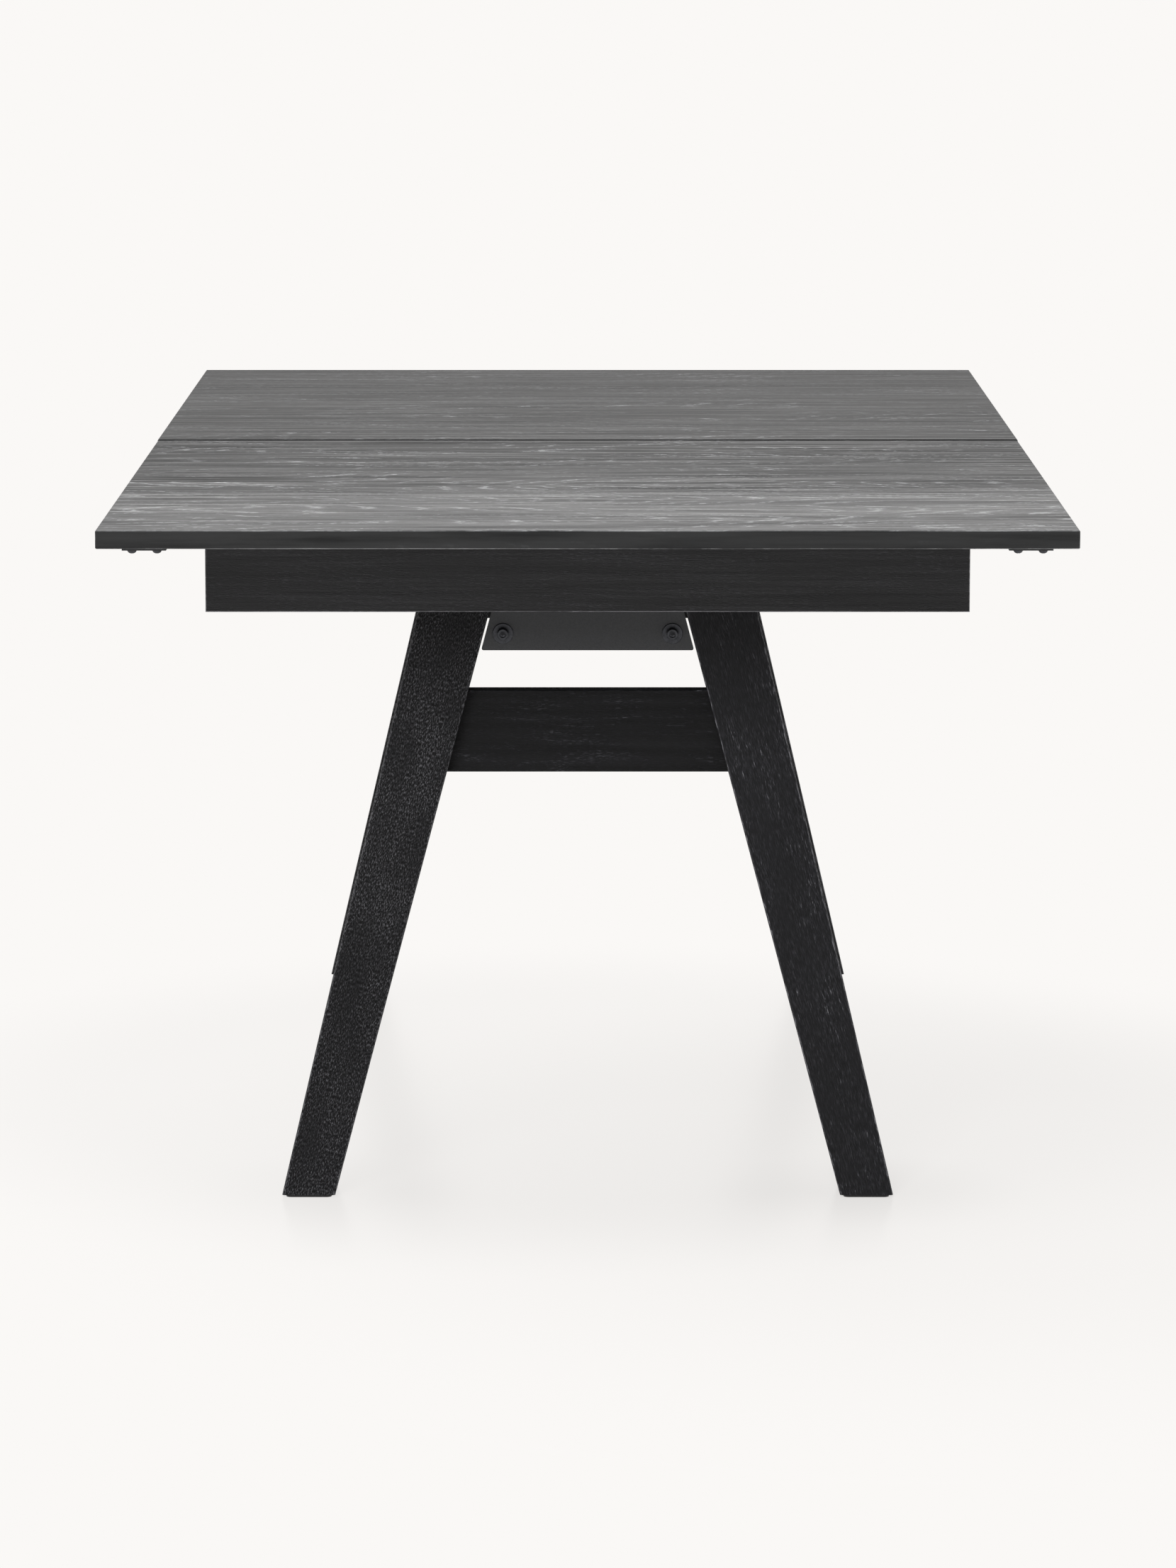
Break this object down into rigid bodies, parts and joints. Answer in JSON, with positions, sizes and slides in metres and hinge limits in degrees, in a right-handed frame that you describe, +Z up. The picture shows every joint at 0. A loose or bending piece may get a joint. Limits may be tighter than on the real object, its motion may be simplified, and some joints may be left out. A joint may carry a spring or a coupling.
{
  "type": "extending dining table",
  "caption": "Rectangular dining table on splayed trestle legs, whose split top draws out evenly on runners to make room for loose leaves stowed in its frame.",
  "frame": {"origin": "on the floor, under the middle of the closed table", "axes": "+Z up, +Y along the table's length and the way the rear half draws out, +X across to the right"},
  "size_m": [1, 1.8, 0.75],
  "materials": {
    "stained_oak_top": "near-black stained oak, matt lacquer, open grain across the table",
    "stained_oak_frame": "near-black stained oak, matt lacquer, grain along each board",
    "stained_beech": "black-stained beech, thin matt lacquer",
    "raw_beech": "raw beech",
    "powder_coated_steel": "dark grey fine-texture powder coat",
    "black_zinc_fasteners": "black zinc-plated fasteners",
    "zinc_plated_steel": "bright zinc-plated steel",
    "acetal_plastic": "black acetal",
    "felt": "grey wool felt"
  },
  "bodies": {
    "frame": {"front_left_leg": "stained_oak_frame", "front_right_leg": "stained_oak_frame", "rear_left_leg": "stained_oak_frame", "rear_right_leg": "stained_oak_frame", "foot_glides": "acetal_plastic", "front_stretcher": "stained_oak_frame", "rear_stretcher": "stained_oak_frame", "frame_dowels": "raw_beech", "front_plate": "powder_coated_steel", "rear_plate": "powder_coated_steel", "tie_bolts": "black_zinc_fasteners", "tie_washers": "black_zinc_fasteners", "tie_nuts": "black_zinc_fasteners", "centre_beam": "powder_coated_steel", "corner_brackets": "powder_coated_steel", "front_cross_rail": "stained_beech", "rear_cross_rail": "stained_beech", "front_outer_runners": "zinc_plated_steel", "rear_outer_runners": "zinc_plated_steel", "runner_screws": "zinc_plated_steel", "front_leaf_bearer": "stained_beech", "rear_leaf_bearer": "stained_beech", "leaf_felt_pads": "felt", "lower_leaf": "stained_oak_top", "upper_leaf": "stained_oak_top", "leaf_dowels": "raw_beech", "pinion_bracket": "powder_coated_steel", "pinion_axle": "zinc_plated_steel", "axle_clip": "zinc_plated_steel", "left_side_rail": "stained_oak_frame", "right_side_rail": "stained_oak_frame", "frame_screws": "zinc_plated_steel"},
    "front_half": {"front_top": "stained_oak_top", "front_apron": "stained_oak_frame", "front_battens": "stained_beech", "front_inner_runners": "zinc_plated_steel", "front_rack": "zinc_plated_steel", "front_rack_block": "stained_beech", "front_flat_strips": "powder_coated_steel", "front_half_screws": "black_zinc_fasteners", "front_glue_blocks": "stained_beech", "seam_dowels": "raw_beech", "catch_pivots": "powder_coated_steel"},
    "rear_half": {"rear_top": "stained_oak_top", "rear_apron": "stained_oak_frame", "rear_battens": "stained_beech", "rear_inner_runners": "zinc_plated_steel", "rear_rack": "zinc_plated_steel", "rear_rack_block": "stained_beech", "rear_flat_strips": "powder_coated_steel", "rear_half_screws": "black_zinc_fasteners", "rear_glue_blocks": "stained_beech", "catch_keepers": "powder_coated_steel"},
    "front_middles": {"front_middle_runners": "zinc_plated_steel", "front_slide_strips": "acetal_plastic"},
    "rear_middles": {"rear_middle_runners": "zinc_plated_steel", "rear_slide_strips": "acetal_plastic"},
    "pinion": {"sync_pinion": "acetal_plastic"},
    "left_catch": {"left_catch": "powder_coated_steel"},
    "right_catch": {"right_catch": "powder_coated_steel"}
  },
  "joints": [
    {"name": "front_half_slide", "type": "slide", "parent": "frame", "child": "front_half", "axis": [0, -1, 0], "range_m": [0, 0.5]},
    {"name": "rear_half_slide", "type": "slide", "parent": "frame", "child": "rear_half", "axis": [0, 1, 0], "range_m": [0, 0.5]},
    {"name": "front_runner_slide", "type": "slide", "parent": "frame", "child": "front_middles", "axis": [0, -1, 0], "range_m": [0, 0.25]},
    {"name": "rear_runner_slide", "type": "slide", "parent": "frame", "child": "rear_middles", "axis": [0, 1, 0], "range_m": [0, 0.25]},
    {"name": "pinion_spin", "type": "hinge", "parent": "frame", "child": "pinion", "pos_m": [0.3, 0, 0.702], "axis": [0, 0, 1], "range_deg": [0, 1432.39]},
    {"name": "left_catch_swing", "type": "hinge", "parent": "front_half", "child": "left_catch", "pos_m": [-0.451, -0.016, 0.7257], "axis": [0, 0, -1], "range_deg": [0, 90]},
    {"name": "right_catch_swing", "type": "hinge", "parent": "front_half", "child": "right_catch", "pos_m": [0.451, -0.016, 0.7257], "axis": [0, 0, 1], "range_deg": [0, 90]}
  ],
  "couplings": [
    {"joint": "rear_half_slide", "follows": "front_half_slide", "ratio": 1},
    {"joint": "front_runner_slide", "follows": "front_half_slide", "ratio": 0.5},
    {"joint": "rear_runner_slide", "follows": "front_half_slide", "ratio": 0.5},
    {"joint": "pinion_spin", "follows": "front_half_slide", "rad_per_m": 50}
  ]
}
